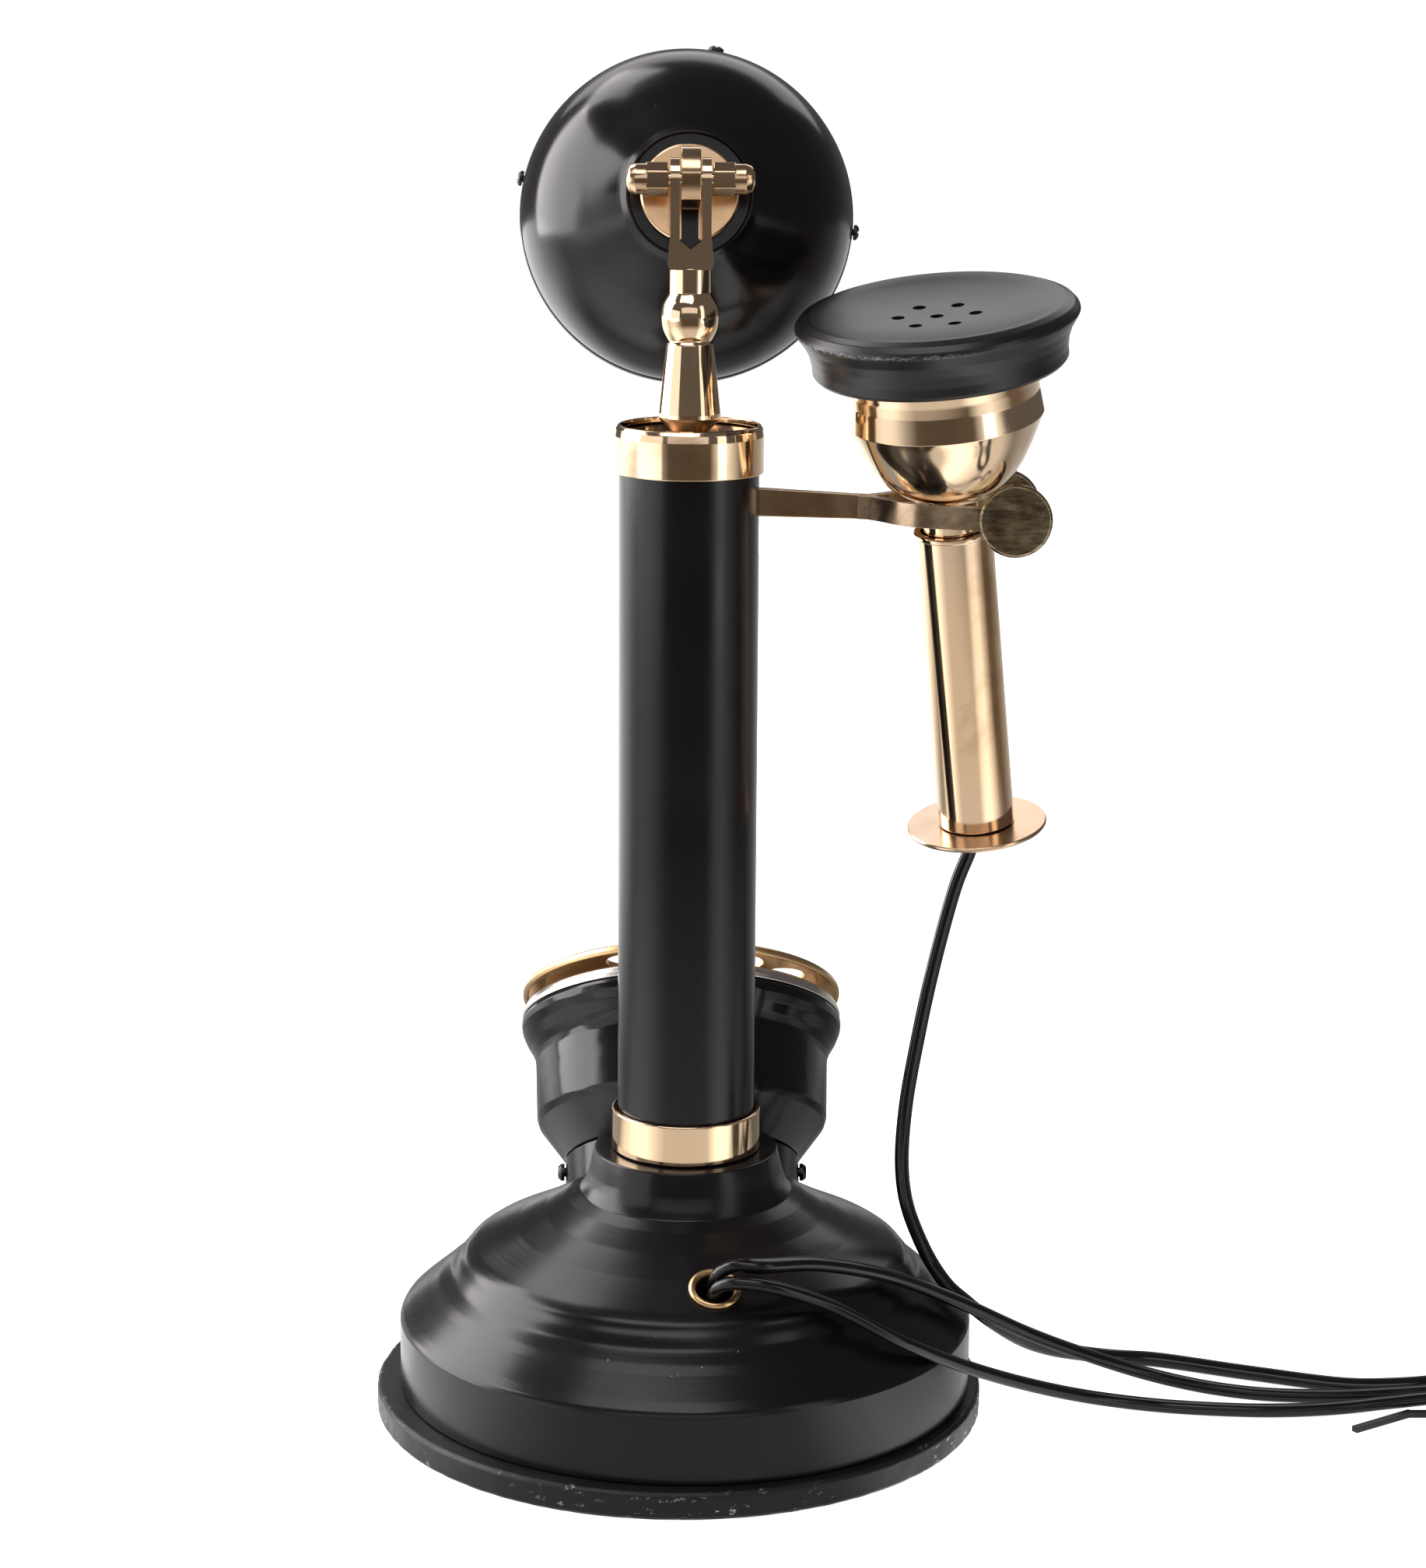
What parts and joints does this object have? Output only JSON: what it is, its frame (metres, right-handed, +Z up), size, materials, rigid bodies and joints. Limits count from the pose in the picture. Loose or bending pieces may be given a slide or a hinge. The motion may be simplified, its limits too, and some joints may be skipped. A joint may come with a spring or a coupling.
{
  "type": "candlestick telephone",
  "caption": "Upright candlestick telephone: round stepped base with a rotary dial, black column, tilting transmitter, brass receiver hung in a side fork, and loose cords.",
  "frame": {"origin": "on the column's axis, at the underside of the base plate, which stands on the table", "axes": "+Z up the column; -Y is the front, where the dial and mouthpiece face; -X is the side where the receiver hangs"},
  "size_m": [0.3132, 0.1741, 0.3102],
  "materials": {
    "enamel": "gloss black enamel with fine scratches",
    "brass": "polished brass with light smudges",
    "gilt": "satin gilt brass",
    "nickel": "satin nickel plate",
    "steel": "plain zinc-plated steel",
    "ebonite": "satin black moulding",
    "ivory": "smooth ivory enamel",
    "board": "green circuit board",
    "cord": "soft black cord jacket",
    "plug": "clear pale moulding"
  },
  "bodies": {
    "base": {"base_plate": "enamel", "base_shell": "enamel", "base_screw_1": "steel", "base_screw_2": "steel", "base_screw_3": "steel", "cord_grommet": "brass", "circuit_board": "board", "column_tube": "enamel", "lower_collar": "brass", "top_ring": "brass", "top_cap": "enamel", "transmitter_post": "brass", "hinge_bolt": "brass", "acorn_nut_left": "brass", "acorn_nut_right": "brass", "hook_bracket": "steel", "hook_pivot_pin": "steel", "switch_block": "ebonite", "switch_blades": "brass", "dial_can": "enamel", "dial_bezel_ring": "nickel", "number_plate": "ivory", "finger_stop": "nickel", "dial_frame": "steel", "mainspring": "steel", "dial_pedestal": "enamel", "pedestal_screw_left": "steel", "pedestal_screw_right": "steel", "receiver_cord_drop": "cord", "receiver_cord_return": "cord", "line_cord": "cord", "receiver_cord_coil": "cord", "line_cord_coil": "cord", "line_cord_tail": "cord", "line_plug": "plug", "line_coil_tie": "ebonite", "receiver_coil_tie": "ebonite", "bundle_tie": "ebonite"},
    "transmitter": {"transmitter_lug": "brass", "transmitter_back": "enamel", "transmitter_bezel": "enamel", "rim_screw_1": "ebonite", "rim_screw_2": "ebonite", "rim_screw_3": "ebonite", "transmitter_face": "enamel", "mouthpiece_horn": "ebonite", "mouthpiece_grille": "brass", "transmitter_capsule": "steel"},
    "hook": {"hook_arm": "brass", "hook_fork": "brass"},
    "receiver": {"ear_cap": "ebonite", "receiver_magnet": "steel", "receiver_cup": "brass", "receiver_tube": "brass", "receiver_flange": "brass"},
    "dial_wheel": {"finger_wheel": "gilt", "dial_hub": "brass", "main_gear": "brass"},
    "governor": {"governor": "brass"}
  },
  "joints": [
    {"name": "transmitter_tilt", "type": "hinge", "parent": "base", "child": "transmitter", "pos_m": [0, 0, 0.2825], "axis": [1, 0, 0], "range_deg": [-25, 6]},
    {"name": "receiver_lift", "type": "slide", "parent": "base", "child": "receiver", "axis": [-0.7021, 0.1194, 0.7021], "range_m": [0, 0.07]},
    {"name": "hook_lift", "type": "hinge", "parent": "base", "child": "hook", "pos_m": [0.005, 0, 0.2122], "axis": [0, 1, 0], "range_deg": [0, 5.05]},
    {"name": "dial_turn", "type": "hinge", "parent": "base", "child": "dial_wheel", "pos_m": [0, -0.0695, 0.078], "axis": [0, 0.5592, -0.829], "range_deg": [0, 326], "stiffness_Nm_per_rad": 0.008, "springref_deg": -68.75},
    {"name": "governor_spin", "type": "hinge", "parent": "base", "child": "governor", "pos_m": [0.02, -0.0695, 0.078], "axis": [0, 0.5592, -0.829], "range_deg": [-1305, 1]}
  ],
  "couplings": [
    {"joint": "hook_lift", "follows": "receiver_lift", "rad_per_m": 1.247},
    {"joint": "governor_spin", "follows": "dial_turn", "ratio": -4}
  ]
}
